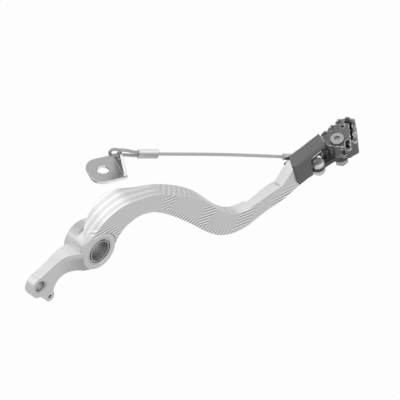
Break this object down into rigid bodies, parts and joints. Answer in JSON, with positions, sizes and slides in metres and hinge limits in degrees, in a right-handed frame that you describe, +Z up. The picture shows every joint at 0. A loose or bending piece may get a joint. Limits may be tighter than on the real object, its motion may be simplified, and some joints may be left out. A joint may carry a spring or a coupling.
{
  "type": "rear brake pedal",
  "caption": "Offset S-shaped brake lever with a pivot boss, a push-rod eye, a folding serrated toe tip and a safety cable with its bracket.",
  "frame": {"origin": "on the pivot axis, in the middle of the boss", "axes": "+X forward to the toe tip, -Y outboard along the pivot axis, +Z up"},
  "size_m": [0.2862, 0.0975, 0.078],
  "materials": {
    "arm_aluminium": "satin machined",
    "bush_bronze": "bored",
    "seal_rubber": "matte",
    "channel_steel": "dark grey coating",
    "tip_steel": "dark grey coating, worn teeth",
    "link_steel": "dark grey coating",
    "bolt_steel": "zinc plated",
    "spring_steel": "drawn wire",
    "rope_steel": "stranded",
    "ferrule_aluminium": "crimped",
    "bracket_zinc": "zinc plated sheet"
  },
  "bodies": {
    "lever": {"lever_arm": "arm_aluminium", "pivot_boss": "arm_aluminium", "pivot_bush": "bush_bronze", "pivot_seal_outer": "seal_rubber", "pivot_seal_inner": "seal_rubber", "toe_channel": "channel_steel", "channel_screws": "bolt_steel", "fold_bolt": "bolt_steel", "fold_clip": "bolt_steel", "fold_spring": "spring_steel", "snake_cable": "rope_steel", "cable_loop": "rope_steel", "crimp_ferrule": "ferrule_aluminium", "cable_lug": "bolt_steel"},
    "tip": {"tip_link": "link_steel", "toe_tip": "tip_steel", "tip_bolt": "bolt_steel", "tip_washer": "bolt_steel", "tip_nut": "bolt_steel"},
    "bracket": {"snake_bracket": "bracket_zinc"}
  },
  "joints": [
    {"name": "tip_fold", "type": "hinge", "parent": "lever", "child": "tip", "pos_m": [0.1899, -0.0277, -0.0228], "axis": [0.1908, 0, -0.9816], "range_deg": [0, 60], "stiffness_Nm_per_rad": 0.4, "springref_deg": -34.38, "deforming": ["fold_spring"]},
    {"name": "bracket_swivel", "type": "hinge", "parent": "lever", "child": "bracket", "pos_m": [0.06172, 0.03712, 0.0218], "axis": [0.9272, -0.3746, 0], "range_deg": [-25, 25]}
  ]
}
